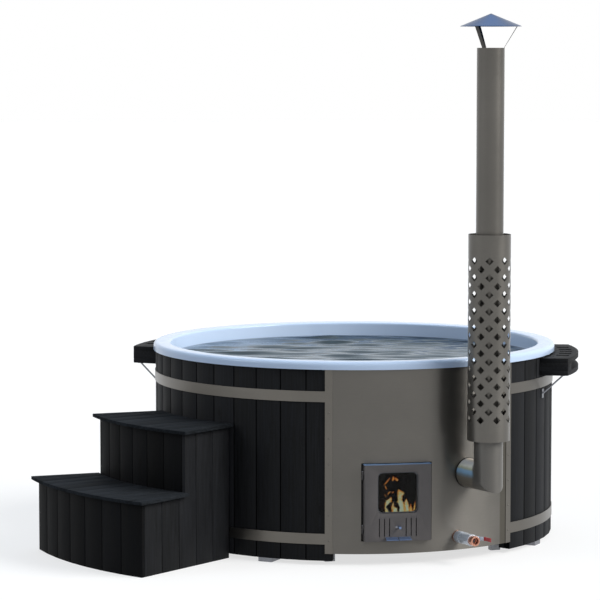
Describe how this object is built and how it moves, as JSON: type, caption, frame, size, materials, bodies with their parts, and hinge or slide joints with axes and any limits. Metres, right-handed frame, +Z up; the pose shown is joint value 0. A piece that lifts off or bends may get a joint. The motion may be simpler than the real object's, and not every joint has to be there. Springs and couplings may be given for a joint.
{
  "type": "wood-fired hot tub",
  "caption": "Round wooden hot tub with a moulded liner, a built-in wood heater behind a curved steel panel, a guarded flue with a rain cap, side shelves, steps and a drain valve.",
  "frame": {"origin": "on the floor, on the tub's upright axis", "axes": "+Z up, the steel panel and the stove door face -Y, the steps are towards -X and -Y"},
  "size_m": [2.7121, 2.3577, 2.594],
  "materials": {
    "liner": "glossy gel coat",
    "dark_timber": "matt dark stain",
    "raw_timber": "sawn, untreated",
    "satin_steel": "satin stainless",
    "zinc": "zinc plated",
    "heater_steel": "mill finish",
    "cast_iron": "as cast",
    "door_paint": "satin grey",
    "door_glass": "dark heat-proof glass",
    "rope_seal": "woven rope",
    "brass": "bare",
    "nickel": "nickel plated",
    "lever_paint": "glossy red"
  },
  "bodies": {
    "root": {"liner": "liner", "rim_ring": "raw_timber", "staves": "dark_timber", "batten_rings": "raw_timber", "hoop_upper": "satin_steel", "hoop_lower": "satin_steel", "front_panel": "satin_steel", "panel_strips": "satin_steel", "panel_posts": "raw_timber", "strip_screws": "zinc", "wall_posts": "raw_timber", "base_rails": "zinc", "bearers": "raw_timber", "bench_props": "raw_timber", "firebox": "heater_steel", "water_jacket": "heater_steel", "jacket_stays": "heater_steel", "heater_stand": "heater_steel", "fire_grate": "cast_iron", "ash_pan": "heater_steel", "baffle": "heater_steel", "flow_pipes": "zinc", "wall_grilles": "zinc", "door_frame": "door_paint", "hinge_pins": "zinc", "flue_elbow": "satin_steel", "flue_collar": "satin_steel", "flue_lower": "satin_steel", "flue_upper": "satin_steel", "heat_guard": "satin_steel", "guard_spacers": "satin_steel", "rain_cap": "satin_steel", "cap_straps": "satin_steel", "drain_pipe": "brass", "wall_nut": "brass", "drain_union": "nickel", "valve_body": "nickel", "packing_nut": "nickel", "valve_outlet": "brass", "shelf_tops": "dark_timber", "shelf_bottoms": "dark_timber", "shelf_ends": "dark_timber", "shelf_braces": "zinc", "riser_boards": "dark_timber", "side_boards": "dark_timber", "treads": "dark_timber", "step_frame": "raw_timber"},
    "door": {"door_leaf": "door_paint", "door_back": "heater_steel", "door_glass": "door_glass", "glass_frame": "zinc", "door_seal": "rope_seal", "ash_lip": "door_paint", "slide_guides": "zinc"},
    "air": {"air_slide": "zinc", "air_knob": "zinc"},
    "drain": {"valve_ball": "nickel", "valve_stem": "nickel", "valve_lever": "lever_paint", "lever_nut": "nickel"}
  },
  "joints": [
    {"name": "door_swing", "type": "hinge", "parent": "root", "child": "door", "pos_m": [0.02267, -1.01152, 0.281], "axis": [0, 0, -1], "range_deg": [0, 105]},
    {"name": "air_draw", "type": "slide", "parent": "door", "child": "air", "axis": [0.9825, 0.1865, 0], "range_m": [-0.012, 0]},
    {"name": "drain_turn", "type": "hinge", "parent": "root", "child": "drain", "pos_m": [0.52425, -0.96556, 0.12], "axis": [-0.8788, -0.4772, 0], "range_deg": [0, 90]}
  ]
}
